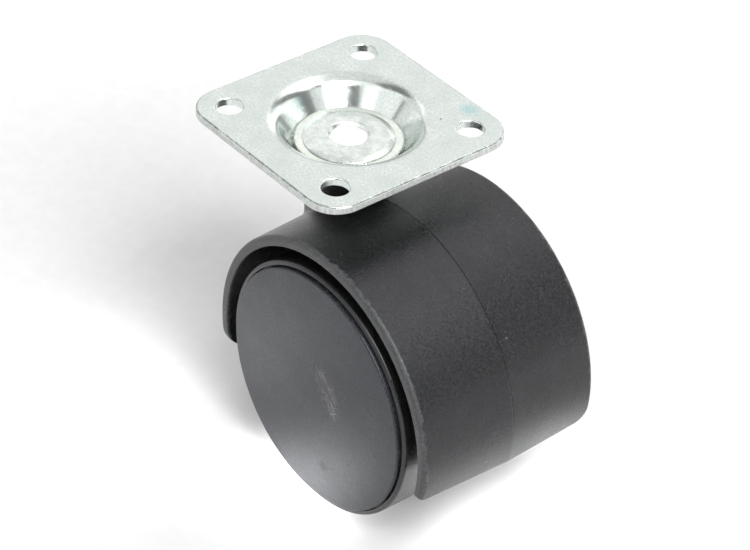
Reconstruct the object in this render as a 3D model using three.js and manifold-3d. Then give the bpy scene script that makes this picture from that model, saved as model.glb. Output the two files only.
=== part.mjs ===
// Twin-wheel swivel caster for chairs and small furniture, with a square screw-on top plate.
//
// Millimetres, +Z up. The origin is where the swivel axis meets the top face of the plate. The
// wheels trail towards +X, their axle runs along Y, and the left wheel is the one at -Y.
//
// The plate, kingpin and their washers stay fixed to the furniture. The hood turns about the
// kingpin and carries the axle, and each wheel turns on the axle by itself.

import * as THREE from 'three';
import { mergeVertices } from 'three/addons/utils/BufferGeometryUtils.js';
import Module from 'manifold-3d';

// ---------------------------------------------------------------- driving dimensions

// Top plate: a pressed square with a round dish in its middle.
const plateSide = 43.2;
const plateThickness = 1.6;
const plateCornerRadius = 6.1;
const screwSpacing = 31;
const screwHoleRadius = 2.6;
const dishRimRadius = 14.2;
const dishFloorRadius = 10.15;
const dishDepth = 4.95;
const dishRimFillet = 2.4;
const dishFloorFillet = 0.7;

// Kingpin: riveted through the dish, with a collar below it and a grooved stem.
const stemRadius = 4;
const stemEnd = -19.4;
const pinHeadRadius = 8.5;
const pinHeadEdge = 0.2;
const pinHeadDome = 0.65;
const pinDimpleRadius = 3.6;
const pinDimpleDepth = 0.65;
const collarRadius = 5.8;
const collarHeight = 1;
const headWasherRadius = 10;
const headWasherThickness = 0.5;
const thrustWasherRadius = 7.3;
const thrustWasherThickness = 0.7;
const snapRingThickness = 0.6;
const snapRingRadius = 4.9;
const snapGrooveRadius = 3.4;
const snapRingTop = -16.55;

// Wheels and axle.
const trail = 17.9;
const axleDrop = 41.9;
const wheelRadius = 25.05;
const wheelInnerFace = 4.75;
const wheelOuterFace = 20.7;
const wheelBand = 0.7;
const treadWall = 3;
const treadShoulder = 0.6;
const treadInnerEdge = 0.8;
const capRadius = 23.85;
const capCrown = 0.7;
const capSeatDepth = 1.55;
const capSnapDepth = 1.8;
const capSnapWall = 1.1;
const hubRadius = 6.8;
const hubOuterEnd = 14.7;
const webInner = 11.2;
const webOuter = 13.2;
const ribCount = 6;
const ribThickness = 1.4;
const axleRadius = 3;
const axleHalfLength = 17;
const clipGrooveRadius = 2.5;
const clipRadius = 5;
const clipThickness = 0.6;
const clipInnerFace = 15.3;
const bushWall = 1.35;
const bushFlangeRadius = 5.7;
const bushFlangeThickness = 0.4;
const spacerRadius = 6;
const spacerThickness = 0.55;

// Hood: one moulding, a drafted shell over both wheels with a web and the stem socket.
const hoodCentreOffset = new THREE.Vector2(0.45, -0.1);
const hoodRimRadius = 30;
const hoodDraftRise = 0.9;
const hoodHalfWidth = 20;
const hoodWall = 2;
const hoodRearEnd = -48.6;
const hoodRearLeftCorner = 1.6;
const hoodRearRightCorner = 3.4;
const hoodFrontEnd = -50.4;
const hoodFrontCorner = 4.6;
const hoodRimRounding = 0.8;
const hoodWebEnd = -46;
const hoodWebHalf = 2.5;
const bossHalf = 4;
const bossRadius = 7;
const neckRadius = 7.75;
const neckDepth = 28.6;
const sleeveOuterRadius = 5.4;
const sleeveEnd = -16.1;
const wheelWellRadius = 26.6;
const wheelWellFace = 4.2;

// Fits: a press or a rest between fixed pieces, and a running clearance between moving ones.
const restGap = 0.05;
const pressGap = 0.1;
const runningGap = 0.1;
const pocketGap = 0.4;
const capGap = 0.2;

// ---------------------------------------------------------------- heights worked out from them

const dishFloor = -dishDepth;
const headWasherTop = dishFloor + restGap + headWasherThickness;
const pinHeadBottom = headWasherTop + restGap;
const pinHeadTop = pinHeadBottom + pinHeadEdge + pinHeadDome;
const collarTop = dishFloor - plateThickness - restGap;
const collarBottom = collarTop - collarHeight;
const thrustWasherBottom = collarBottom - restGap - thrustWasherThickness;
const neckTop = thrustWasherBottom - runningGap;
const snapRingBottom = snapRingTop - snapRingThickness;
const treadInnerRadius = wheelRadius - treadWall;
const capSeatRadius = capRadius + capGap;
const capSeatFace = wheelOuterFace - capSeatDepth;
const sleeveInnerRadius = stemRadius + runningGap;
const bushInnerRadius = axleRadius + runningGap;
const bushOuterRadius = bushInnerRadius + bushWall;

// Longer than any piece, for blocks and bars that cut right through.
const reach = 2 * hoodRimRadius;

// ---------------------------------------------------------------- shape helpers

const wasm = await Module();
wasm.setup();

/** Turns [x, y, radius] corners into an outline whose corners are true arcs. */
function roundedOutline(corners, arcSteps = 4) {
  const outline = [];
  corners.forEach(([x, y, radius = 0], index) => {
    const corner = new THREE.Vector2(x, y);
    if (radius === 0) {
      outline.push(corner);
      return;
    }
    const [beforeX, beforeY] = corners.at(index - 1);
    const [afterX, afterY] = corners[(index + 1) % corners.length];
    const toBefore = new THREE.Vector2(beforeX - x, beforeY - y).normalize();
    const toAfter = new THREE.Vector2(afterX - x, afterY - y).normalize();
    const halfAngle = toBefore.angleTo(toAfter) / 2;
    const toCentre = toBefore.clone().add(toAfter).normalize();
    const centre = corner.clone().addScaledVector(toCentre, radius / Math.sin(halfAngle));
    const start = corner.clone().addScaledVector(toBefore, radius / Math.tan(halfAngle));
    const end = corner.clone().addScaledVector(toAfter, radius / Math.tan(halfAngle));
    const startAngle = start.clone().sub(centre).angle();
    const turn = end.clone().sub(centre).angle() - startAngle;
    const sweep = Math.atan2(Math.sin(turn), Math.cos(turn));
    for (let step = 0; step <= arcSteps; step += 1) {
      const angle = startAngle + (sweep * step) / arcSteps;
      outline.push(new THREE.Vector2(radius, 0).rotateAround(new THREE.Vector2(), angle).add(centre));
    }
  });
  return outline;
}

/** Revolves a ring-shaped outline of [radius, y] corners about the Y axis. */
function turnedRing(corners, sides, arcSteps) {
  const outline = roundedOutline(corners, arcSteps);
  outline.push(outline[0].clone());
  return new THREE.LatheGeometry(outline, sides);
}

/** Revolves an outline that starts and ends on the Y axis. */
function turnedSolid(corners, sides, arcSteps) {
  return new THREE.LatheGeometry(roundedOutline(corners, arcSteps), sides);
}

/** Stands a shape that was made about the Y axis upright, about the Z axis. */
function upright(geometry) {
  return geometry.rotateX(Math.PI / 2);
}

/** A plain round bar about the Y axis between two values of y. */
function bar(radius, from, to, sides) {
  return new THREE.CylinderGeometry(radius, radius, to - from, sides).translate(0, (from + to) / 2, 0);
}

/** A flat split ring with a gap that faces +X, extruded from z = 0 up. */
function splitRing(innerRadius, outerRadius, thickness, gapAngle) {
  const shape = new THREE.Shape();
  shape.absarc(0, 0, outerRadius, gapAngle / 2, -gapAngle / 2, false);
  shape.absarc(0, 0, innerRadius, -gapAngle / 2, gapAngle / 2, true);
  shape.closePath();
  return new THREE.ExtrudeGeometry(shape, { depth: thickness, bevelEnabled: false, curveSegments: 24 });
}

function toSolid(geometry) {
  const bare = geometry.clone();
  bare.deleteAttribute('normal');
  bare.deleteAttribute('uv');
  const welded = mergeVertices(bare);
  return new wasm.Manifold(
    new wasm.Mesh({
      numProp: 3,
      vertProperties: welded.getAttribute('position').array,
      triVerts: Uint32Array.from(welded.index.array),
    }),
  );
}

function toGeometry(solid) {
  const mesh = solid.getMesh();
  const geometry = new THREE.BufferGeometry();
  geometry.setAttribute('position', new THREE.BufferAttribute(mesh.vertProperties, 3));
  geometry.setIndex(new THREE.BufferAttribute(mesh.triVerts, 1));
  geometry.computeVertexNormals();
  return geometry;
}

function zincSteel(color = 0xc6cfc8) {
  return new THREE.MeshStandardMaterial({ color, roughness: 0.34, metalness: 0.9 });
}

function plastic(color = 0x2c2c2f) {
  return new THREE.MeshStandardMaterial({ color, roughness: 0.6, metalness: 0 });
}

function named(name, geometry, material) {
  const mesh = new THREE.Mesh(geometry, material);
  mesh.name = name;
  return mesh;
}

// ---------------------------------------------------------------- pieces fixed to the furniture

/** The square plate with four screw holes, and the dish pressed down into its middle. */
function topPlate() {
  const half = plateSide / 2;
  const joinRadius = dishRimRadius + 2.6;
  const square = new THREE.Shape(
    roundedOutline(
      [
        [half, -half, plateCornerRadius],
        [half, half, plateCornerRadius],
        [-half, half, plateCornerRadius],
        [-half, -half, plateCornerRadius],
      ],
      8,
    ),
  );
  for (const sideX of [-1, 1]) {
    for (const sideY of [-1, 1]) {
      const hole = new THREE.Path();
      const centre = new THREE.Vector2(sideX, sideY).multiplyScalar(screwSpacing / 2);
      hole.absarc(centre.x, centre.y, screwHoleRadius, 0, 2 * Math.PI, true);
      square.holes.push(hole);
    }
  }
  const opening = new THREE.Path();
  opening.absarc(0, 0, joinRadius - 0.8, 0, 2 * Math.PI, true);
  square.holes.push(opening);
  const sheet = new THREE.ExtrudeGeometry(square, {
    depth: plateThickness,
    bevelEnabled: false,
    curveSegments: 24,
  }).translate(0, 0, -plateThickness);

  const wallSlope = Math.atan2(dishDepth, dishRimRadius - dishFloorRadius);
  const undersideShift = plateThickness * Math.tan(wallSlope / 2);
  const pinHoleRadius = stemRadius + runningGap;
  const dish = turnedRing(
    [
      [pinHoleRadius, dishFloor - plateThickness],
      [dishFloorRadius + undersideShift, dishFloor - plateThickness, dishFloorFillet + plateThickness],
      [dishRimRadius + undersideShift, -plateThickness, dishRimFillet - plateThickness],
      [joinRadius, -plateThickness],
      [joinRadius, 0],
      [dishRimRadius, 0, dishRimFillet],
      [dishFloorRadius, dishFloor, dishFloorFillet],
      [pinHoleRadius, dishFloor],
    ],
    40,
    3,
  );
  return named('top_plate', toGeometry(toSolid(sheet).add(toSolid(upright(dish)))), zincSteel());
}

/** The kingpin: a domed, dimpled rivet head, a collar under the plate and a grooved stem. */
function kingpin() {
  const geometry = turnedSolid(
    [
      [0, stemEnd],
      [stemRadius - 0.6, stemEnd],
      [stemRadius, stemEnd + 0.6],
      [stemRadius, snapRingBottom - restGap],
      [snapGrooveRadius, snapRingBottom - restGap],
      [snapGrooveRadius, snapRingTop + restGap],
      [stemRadius, snapRingTop + restGap],
      [stemRadius, collarBottom],
      [collarRadius, collarBottom],
      [collarRadius, collarTop],
      [stemRadius, collarTop],
      [stemRadius, pinHeadBottom],
      [pinHeadRadius, pinHeadBottom],
      [pinHeadRadius, pinHeadBottom + pinHeadEdge],
      [(pinHeadRadius + pinDimpleRadius) / 2, pinHeadTop - pinHeadDome / 4],
      [pinDimpleRadius, pinHeadTop],
      [pinDimpleRadius - 0.4, pinHeadTop - pinDimpleDepth],
      [0, pinHeadTop - pinDimpleDepth],
    ],
    32,
  );
  return named('kingpin', upright(geometry), zincSteel(0xd3d8d0));
}

/** A flat washer or a plain sleeve about the swivel axis. */
function uprightRing(name, innerRadius, outerRadius, bottom, top, color) {
  const corners = [
    [innerRadius, bottom],
    [outerRadius, bottom],
    [outerRadius, top],
    [innerRadius, top],
  ];
  return named(name, upright(turnedRing(corners, 36)), zincSteel(color));
}

function headWasher() {
  const hole = stemRadius + runningGap;
  return uprightRing('head_washer', hole, headWasherRadius, dishFloor + restGap, headWasherTop, 0xdcdcd0);
}

function thrustWasher() {
  const hole = stemRadius + runningGap;
  const top = collarBottom - restGap;
  return uprightRing('thrust_washer', hole, thrustWasherRadius, thrustWasherBottom, top, 0xb4b8ba);
}

function stemSnapRing() {
  const ring = splitRing(snapGrooveRadius + pressGap, snapRingRadius, snapRingThickness, Math.PI / 5);
  return named('stem_snap_ring', ring.translate(0, 0, snapRingBottom), zincSteel(0x8c8f92));
}

// ---------------------------------------------------------------- pieces that swivel

/** One side's hollow under the hood, about the hood's own centre line. */
function hoodHollow(side) {
  const rimY = hoodHalfWidth + 1;
  const rise = (hoodDraftRise * (hoodHalfWidth - hoodWebHalf)) / hoodHalfWidth;
  const rimRadius = hoodRimRadius - hoodWall;
  const corners = [
    [0, side * hoodWebHalf],
    [rimRadius + rise, side * hoodWebHalf],
    [rimRadius, side * hoodHalfWidth],
    [rimRadius, side * rimY],
    [0, side * rimY],
  ];
  return turnedSolid(side > 0 ? corners : corners.reverse(), 64);
}

/** A block between two values of x whose lower edge is the end of the hood's skirt. */
function skirtBlock(fromX, toX, end, leftCorner, rightCorner) {
  const outline = new THREE.Shape(
    roundedOutline([
      [hoodHalfWidth, end, rightCorner],
      [hoodHalfWidth, 0],
      [-hoodHalfWidth, 0],
      [-hoodHalfWidth, end, leftCorner],
    ]),
  );
  const yzToX = new THREE.Matrix4().makeBasis(
    new THREE.Vector3(0, 1, 0),
    new THREE.Vector3(0, 0, 1),
    new THREE.Vector3(1, 0, 0),
  );
  const block = new THREE.ExtrudeGeometry(outline, { depth: toX - fromX, bevelEnabled: false });
  return toSolid(block.applyMatrix4(yzToX).translate(fromX, 0, 0));
}

/** The drafted shell and its web, before anything is cut into them or added. */
function hoodShell() {
  const centreX = trail + hoodCentreOffset.x;
  const centreZ = -axleDrop + hoodCentreOffset.y;
  const drum = turnedSolid(
    [
      [0, -hoodHalfWidth],
      [hoodRimRadius, -hoodHalfWidth, hoodRimRounding],
      [hoodRimRadius + hoodDraftRise, 0],
      [hoodRimRadius, hoodHalfWidth, hoodRimRounding],
      [0, hoodHalfWidth],
    ],
    64,
    2,
  );
  const front = skirtBlock(centreX - reach, trail, hoodFrontEnd, hoodFrontCorner, hoodFrontCorner);
  const rear = skirtBlock(trail, centreX + reach, hoodRearEnd, hoodRearLeftCorner, hoodRearRightCorner);
  let shell = toSolid(drum.translate(centreX, 0, centreZ)).intersect(front.add(rear));
  for (const side of [-1, 1]) {
    shell = shell.subtract(toSolid(hoodHollow(side).translate(centreX, 0, centreZ)));
  }
  return shell;
}

/** The hood: shell, web, neck with the stem socket, and axle boss, in one moulding. */
function hood() {
  let body = hoodShell().add(toSolid(upright(bar(neckRadius, -neckDepth, neckTop, 40))));
  const onAxle = (geometry) => toSolid(geometry.translate(trail, 0, -axleDrop));
  const underWeb = new THREE.BoxGeometry(reach, 2 * hoodWebHalf + 1, reach);
  underWeb.translate(trail, 0, hoodWebEnd - reach / 2);
  const cuts = [
    onAxle(bar(wheelWellRadius, -reach, -wheelWellFace, 64)),
    onAxle(bar(wheelWellRadius, wheelWellFace, reach, 64)),
    onAxle(bar(wheelWellRadius, -wheelWellFace, wheelWellFace, 64)).intersect(toSolid(underWeb)),
  ];
  for (const cut of cuts) {
    body = body.subtract(cut);
  }
  body = body.add(onAxle(bar(bossRadius, -bossHalf, bossHalf, 32)));
  const bores = [
    onAxle(bar(axleRadius + pressGap, -reach, reach, 32)),
    toSolid(upright(bar(sleeveOuterRadius + pressGap, sleeveEnd - restGap, 0, 36))),
    toSolid(upright(bar(snapRingRadius + pocketGap, snapRingBottom - pocketGap, 0, 36))),
    toSolid(upright(bar(stemRadius + pocketGap, stemEnd - pocketGap, 0, 36))),
  ];
  for (const bore of bores) {
    body = body.subtract(bore);
  }
  return named('hood', toGeometry(body), plastic());
}

function stemSleeve() {
  const top = neckTop - restGap;
  return uprightRing('stem_sleeve', sleeveInnerRadius, sleeveOuterRadius, sleeveEnd, top, 0x9da1a3);
}

/** The steel axle, with a groove near each end for a clip. */
function axle() {
  const groove = (side) => [
    [axleRadius, side * (clipInnerFace - restGap)],
    [clipGrooveRadius, side * (clipInnerFace - restGap)],
    [clipGrooveRadius, side * (clipInnerFace + clipThickness + restGap)],
    [axleRadius, side * (clipInnerFace + clipThickness + restGap)],
  ];
  const end = (side) => [
    [axleRadius, side * (axleHalfLength - 0.5)],
    [axleRadius - 0.5, side * axleHalfLength],
    [0, side * axleHalfLength],
  ];
  const corners = [...end(-1).reverse(), ...groove(-1).reverse(), ...groove(1), ...end(1)];
  return named('axle', turnedSolid(corners, 32), zincSteel(0xa9adb0));
}

function axleClip(name) {
  const ring = splitRing(clipGrooveRadius + pressGap, clipRadius, clipThickness, Math.PI / 3);
  ring.rotateX(-Math.PI / 2).translate(0, clipInnerFace, 0);
  return named(name, ring, zincSteel(0x84878a));
}

function spacerWasher(name) {
  const innerFace = bossHalf + restGap;
  const corners = [
    [axleRadius + pressGap, innerFace],
    [spacerRadius, innerFace],
    [spacerRadius, innerFace + spacerThickness],
    [axleRadius + pressGap, innerFace + spacerThickness],
  ];
  return named(name, turnedRing(corners, 32), zincSteel(0xb4b8ba));
}

// ---------------------------------------------------------------- pieces that roll

/** A wheel moulding: tread, web and hub in one, with ribs on both sides of the web. */
function wheelMoulding(name) {
  const bore = bushOuterRadius + pressGap;
  const lip = wheelOuterFace - wheelBand;
  const ring = turnedRing(
    [
      [bore, wheelInnerFace],
      [hubRadius, wheelInnerFace],
      [hubRadius, webInner],
      [treadInnerRadius, webInner],
      [treadInnerRadius, wheelInnerFace],
      [wheelRadius, wheelInnerFace, treadInnerEdge],
      [wheelRadius, lip, treadShoulder],
      [capSeatRadius, lip],
      [capSeatRadius, capSeatFace],
      [treadInnerRadius, capSeatFace],
      [treadInnerRadius, webOuter],
      [hubRadius, webOuter],
      [hubRadius, hubOuterEnd],
      [bore, hubOuterEnd],
    ],
    48,
    3,
  );
  let body = toSolid(ring);
  const ribLength = treadInnerRadius - hubRadius + 1;
  const ribFrom = wheelInnerFace + 1.2;
  const ribTo = capSeatFace - capSnapDepth - 1;
  for (let index = 0; index < ribCount; index += 1) {
    const rib = new THREE.BoxGeometry(ribLength, ribTo - ribFrom, ribThickness);
    rib.translate(hubRadius - 0.5 + ribLength / 2, (ribFrom + ribTo) / 2, 0);
    rib.rotateY((2 * Math.PI * index) / ribCount);
    body = body.add(toSolid(rib));
  }
  return named(name, toGeometry(body), plastic(0x37383c));
}

/** The slightly crowned disc that closes the outer side of a wheel, with a snap-in skirt. */
function wheelCap(name) {
  const skirtRadius = treadInnerRadius - runningGap;
  const underside = capSeatFace + restGap;
  const crown = [0.8, 0.6, 0.4, 0.2].map((share) => [
    capRadius * share,
    wheelOuterFace + capCrown * (1 - share * share),
  ]);
  const geometry = turnedSolid(
    [
      [0, underside],
      [skirtRadius - capSnapWall, underside],
      [skirtRadius - capSnapWall, underside - capSnapDepth],
      [skirtRadius, underside - capSnapDepth],
      [skirtRadius, underside],
      [capRadius, underside],
      [capRadius, wheelOuterFace, 0.45],
      ...crown,
      [0, wheelOuterFace + capCrown],
    ],
    48,
    3,
  );
  return named(name, geometry, plastic(0x4c4d53));
}

function hubBush(name) {
  const geometry = turnedRing(
    [
      [bushInnerRadius, wheelInnerFace + restGap],
      [bushOuterRadius, wheelInnerFace + restGap],
      [bushOuterRadius, hubOuterEnd + restGap],
      [bushFlangeRadius, hubOuterEnd + restGap],
      [bushFlangeRadius, hubOuterEnd + restGap + bushFlangeThickness],
      [bushInnerRadius, hubOuterEnd + restGap + bushFlangeThickness],
    ],
    36,
  );
  return named(name, geometry, plastic(0xe4e2d8));
}

// ---------------------------------------------------------------- the caster

const caster = new THREE.Group();

const fixed = new THREE.Group();
fixed.add(topPlate());
fixed.add(kingpin());
fixed.add(headWasher());
fixed.add(thrustWasher());
fixed.add(stemSnapRing());
caster.add(fixed);

const swivel = new THREE.Group();
swivel.add(hood());
swivel.add(stemSleeve());
caster.add(swivel);

const axleLine = new THREE.Group();
axleLine.position.set(trail, 0, -axleDrop);
axleLine.add(axle());
swivel.add(axleLine);

// Each side is made for +Y, and the left one is turned half round about the vertical.
for (const [side, turn] of [
  ['left', Math.PI],
  ['right', 0],
]) {
  const sideGroup = new THREE.Group();
  sideGroup.rotation.z = turn;
  sideGroup.add(spacerWasher(`${side}_spacer_washer`));
  sideGroup.add(axleClip(`${side}_axle_clip`));
  sideGroup.add(wheelMoulding(`${side}_wheel`));
  sideGroup.add(wheelCap(`${side}_wheel_cap`));
  sideGroup.add(hubBush(`${side}_hub_bush`));
  axleLine.add(sideGroup);
}

export default caster;
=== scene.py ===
import math

import bmesh
import bpy
from mathutils import Matrix, Vector, noise
from mathutils.geometry import delaunay_2d_cdt


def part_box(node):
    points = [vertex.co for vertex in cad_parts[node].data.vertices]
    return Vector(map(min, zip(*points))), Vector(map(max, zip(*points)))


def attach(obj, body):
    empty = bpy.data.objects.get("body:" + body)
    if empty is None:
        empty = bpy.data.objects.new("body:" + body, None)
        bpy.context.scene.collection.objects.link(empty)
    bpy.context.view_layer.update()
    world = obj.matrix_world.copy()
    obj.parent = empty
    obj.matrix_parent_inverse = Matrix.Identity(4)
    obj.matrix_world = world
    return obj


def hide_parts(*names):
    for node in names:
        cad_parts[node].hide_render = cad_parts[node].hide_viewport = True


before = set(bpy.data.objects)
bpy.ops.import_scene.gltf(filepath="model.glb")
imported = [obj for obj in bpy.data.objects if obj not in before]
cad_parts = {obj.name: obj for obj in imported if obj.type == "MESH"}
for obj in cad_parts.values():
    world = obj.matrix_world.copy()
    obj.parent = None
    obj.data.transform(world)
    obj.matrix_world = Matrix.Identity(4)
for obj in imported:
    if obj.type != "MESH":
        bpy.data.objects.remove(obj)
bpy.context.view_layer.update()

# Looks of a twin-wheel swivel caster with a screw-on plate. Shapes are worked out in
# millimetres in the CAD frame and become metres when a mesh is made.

MM = 0.001
TAU = 2 * math.pi


def box_mm(node):
    """Lowest and highest corner of a CAD node, in millimetres."""
    lo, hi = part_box(node)
    return lo / MM, hi / MM


# ---- places taken from the CAD

_, plate_hi = box_mm("top_plate")
PLATE_HALF = plate_hi.x
axle_lo, axle_hi = box_mm("axle")
AXLE_X = (axle_lo.x + axle_hi.x) / 2
AXLE_Z = (axle_lo.z + axle_hi.z) / 2
AXLE_R = (axle_hi.z - axle_lo.z) / 2
AXLE_HALF = axle_hi.y
wheel_lo, wheel_hi = box_mm("right_wheel")
WHEEL_R = (wheel_hi.x - wheel_lo.x) / 2
WHEEL_INNER = wheel_lo.y
LIP_Y = wheel_hi.y
cap_lo, cap_hi = box_mm("right_wheel_cap")
CAP_R = (cap_hi.x - cap_lo.x) / 2
CAP_Y = cap_hi.y
_, hood_hi = box_mm("hood")
NECK_TOP = hood_hi.z
HOOD_HALF = hood_hi.y
FLOOR_Z = wheel_lo.z

# ---- sizes of the plate and the pin

PLATE_T = 1.6
PLATE_CORNER = 6.1
SCREW_OFFSET = 15.5
SCREW_R = 2.6
ROLL_TOP = 0.32
ROLL_BOTTOM = 0.14
# A ring of mesh this far inside each edge of the flat keeps its shading flat.
FLAT_MARGIN = 0.25
JOIN_R = 16.8
DISH_RIM_R = 14.1
DISH_RIM_FILLET = 4.2
DISH_FLOOR_R = 10.15
DISH_FLOOR_FILLET = 0.7
DISH_UNDER_FILLET = 2.3
DISH_DEPTH = 4.95
DISH_UNDER_SHIFT = 0.758
PIN_HOLE_R = 4.1
STEM_R = 4.0
STEM_END = -19.4
SNAP_GROOVE_R = 3.4
SNAP_GROOVE = (-17.2, -16.5)
COLLAR_R = 5.8
COLLAR = (-7.6, -6.6)
HEAD_R = 8.5
HEAD_UNDER = -4.35
HEAD_TOP = -3.5
DIMPLE_R = 3.35
DIMPLE_FLOOR = -4.15

# Rings round the pin: inner radius, outer radius, bottom, top.
HEAD_RING = (4.1, 10.0, -4.9, -4.4)
THRUST_RING = (4.1, 7.3, -8.35, -7.65)
SLEEVE = (4.1, 5.4, -16.1, -8.5)
SNAP_RING = (3.5, 4.9, -17.15, -16.55)
SNAP_RING_GAP = math.pi / 5

# ---- sizes of the hood

HOOD_X = AXLE_X + 0.45
HOOD_Z = AXLE_Z - 0.1
HOOD_RIM_R = 30.0
HOOD_RISE = 0.9
HOOD_WALL = 2.0
OUTER_EDGE = 0.9
INNER_EDGE = 0.3
REAR_END = -48.6
REAR_CORNERS = (1.6, 3.4)
FRONT_END = -50.4
FRONT_CORNERS = (4.6, 4.6)
PARTING_DEPTH = 0.17
PARTING_HALF = 0.16
WEB_HALF = 2.5
WEB_END = -46.0
WEB_EDGE = 0.3
WELL_R = 26.6
WELL_Y = 4.2
BOSS_R = 7.0
BOSS_HALF = 4.0
NECK_R = 7.75
NECK_FILLET = 1.3
NECK_FOOT = -28.6
# Radius and deepest point of each step of the neck's bore.
NECK_BORE = ((5.5, -16.15), (5.3, -17.55), (4.4, -19.8))

# ---- sizes of the wheels

TREAD_IN = 22.05
CAP_SEAT_R = 24.1
CAP_SEAT_Y = 19.15
HUB_R = 6.8
HUB_END = 14.7
HUB_BORE = 4.55
WEB_IN, WEB_OUT = 11.2, 13.2
RIBS = 6
RIB_T = 1.4
RIB_EDGE = 0.15
CAP_CROWN = 0.7
CAP_UNDER = 19.2
CAP_SKIRT_R = 21.95
CAP_SKIRT_WALL = 1.1
CAP_SKIRT_DEPTH = 1.8
# Along the axle, outwards from the middle: inner radius, outer radius, inner end, outer end.
BUSH = (3.1, 4.45, 4.8, 15.15)
BUSH_FLANGE_R = 5.7
BUSH_FLANGE_Y = 14.75
SPACER = (3.1, 6.0, 4.05, 4.6)
CLIP = (2.6, 5.0, 15.3, 15.9)
CLIP_GAP = math.pi / 3
CLIP_GROOVE_R = 2.5
CLIP_GROOVE = (15.25, 15.95)

# ---- single marks on the surfaces

TEAL_ON_FLAT = (10.6, 19.2, 0.0)
TEAL_IN_DISH = (-11.1, -2.0, -1.9)
PLATE_DOT = (10.0, 13.1, 0.0)
HOOD_PIT = (16.3, 15.6, -11.9)
HOOD_SPECK = (43.3, 2.0, -24.0)
SCUFF_CENTRE = (AXLE_X + 4.6, 0.0, AXLE_Z + 2.6)
SCUFF_LONG, SCUFF_SHORT = 6.4, 3.4
NICKS = ((AXLE_X + 1.6, -CAP_Y, AXLE_Z + 2.8), (AXLE_X + 3.7, -CAP_Y, AXLE_Z + 1.9))
SMUDGE = (AXLE_X + 3.9, -CAP_Y + 0.3, AXLE_Z - 15.4)

# ---- studio

# Painted pools of light that the floor gives off, though it is no lamp: x, y, spread and
# strength.
PAINTED_LIGHT_POOLS = ((54, 2, 10, 1.8), (55, 24, 10, 2.2), (14, -22, 8, 3.0), (-28, -44, 16, 0.8))
# The floor gives off an even painted glow beyond these distances from the axle, and none within
# the first.
GLOW_FROM, GLOW_FULL, GLOW = 110, 330, 0.6

# Name, azimuth, elevation, width and height in millimetres, and watts of each soft box.
SOFT_BOXES = (
    ("key", 74, 48, (520, 520), 14.5),
    ("right", 106, 30, (500, 500), 0.6),
    ("low_right", 160, 14, (800, 440), 1.4),
    ("high_right", 160, 57, (900, 480), 2.6),
    ("back_left", 240, 36, (1200, 850), 2.9),
    ("back", 198, 12, (560, 560), 1.25),
    ("overhead", 229, 82, (820, 820), 1.5),
    ("left", 292, 25, (700, 640), 1.1),
    ("front", 348, 36, (1000, 520), 1.7),
    ("around_camera", 49, 50, (1300, 860), 3.6),
)
SOFT_BOX_DISTANCE = 1000.0

AIM = Vector((11.16, -1.73, -28.14))
AZIMUTH, ELEVATION, ROLL = (math.radians(a) for a in (49.41, 37.227, 2.819))
CAMERA_DISTANCE = 534.35
LENS = 139.58
SENSOR = 36

CARD_DISTANCE = 620
CARD_ELEVATION = math.radians(42)
CARD_HALF = 185.0
CARD_LOW = -150.0
CARD_STRAIGHT = -70.0


# ---- mesh helpers


def rounded(corners, closed=True, steps=6, hold=0.15):
    """Turns (u, v, radius) corners into an outline with arcs and a holding point beside each."""
    count = len(corners)
    points = [Vector(c[:2]) for c in corners]
    radii = [c[2] if len(c) > 2 else 0.0 for c in corners]
    turns = []
    for i, here in enumerate(points):
        if radii[i] == 0 or (not closed and i in (0, count - 1)):
            turns.append(None)
            continue
        to_before = (points[i - 1] - here).normalized()
        to_after = (points[(i + 1) % count] - here).normalized()
        half = to_before.angle(to_after) / 2
        turns.append((to_before, to_after, half, radii[i] / math.tan(half)))
    out = []
    for i, here in enumerate(points):
        if turns[i] is None:
            out.append(here)
            continue
        to_before, to_after, half, reach = turns[i]
        centre = here + (to_before + to_after).normalized() * (radii[i] / math.sin(half))
        before, after = turns[i - 1], turns[(i + 1) % count]
        room_before = (points[i - 1] - here).length - reach - (before[3] if before else 0)
        room_after = (points[(i + 1) % count] - here).length - reach - (after[3] if after else 0)
        start, end = here + to_before * reach, here + to_after * reach
        if room_before > 0.02:
            out.append(start + to_before * min(hold, room_before * 0.35))
        first = (start - centre).normalized()
        last = (end - centre).normalized()
        sweep = math.atan2(first.cross(last), first.dot(last))
        for k in range(steps + 1):
            turn = sweep * k / steps
            c, s = math.cos(turn), math.sin(turn)
            spoke = Vector((first.x * c - first.y * s, first.x * s + first.y * c))
            out.append(centre + spoke * radii[i])
        if room_after > 0.02:
            out.append(end + to_after * min(hold, room_after * 0.35))
    return out


def clean(bm):
    """Merges vertices in the same place and turns the faces outwards."""
    bmesh.ops.remove_doubles(bm, verts=bm.verts, dist=1e-5)
    bmesh.ops.recalc_face_normals(bm, faces=bm.faces)


def make_object(name, bm):
    """An object of the scene with the bmesh's shape; the bmesh goes."""
    mesh = bpy.data.meshes.new(name)
    bm.to_mesh(mesh)
    bm.free()
    thing = bpy.data.objects.new(name, mesh)
    bpy.context.scene.collection.objects.link(thing)
    return thing


def finish_mesh(name, bm, slot, body, node, sharp=35.0):
    """Makes the riding, named piece from a bmesh given in millimetres."""
    clean(bm)
    bmesh.ops.scale(bm, vec=(MM, MM, MM), verts=bm.verts)
    piece = make_object(name, bm)
    piece.data.shade_smooth()
    piece.data.set_sharp_from_angle(angle=math.radians(sharp))
    piece.data.materials.append(MATERIALS[slot])
    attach(piece, body)
    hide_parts(node)
    return piece


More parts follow.
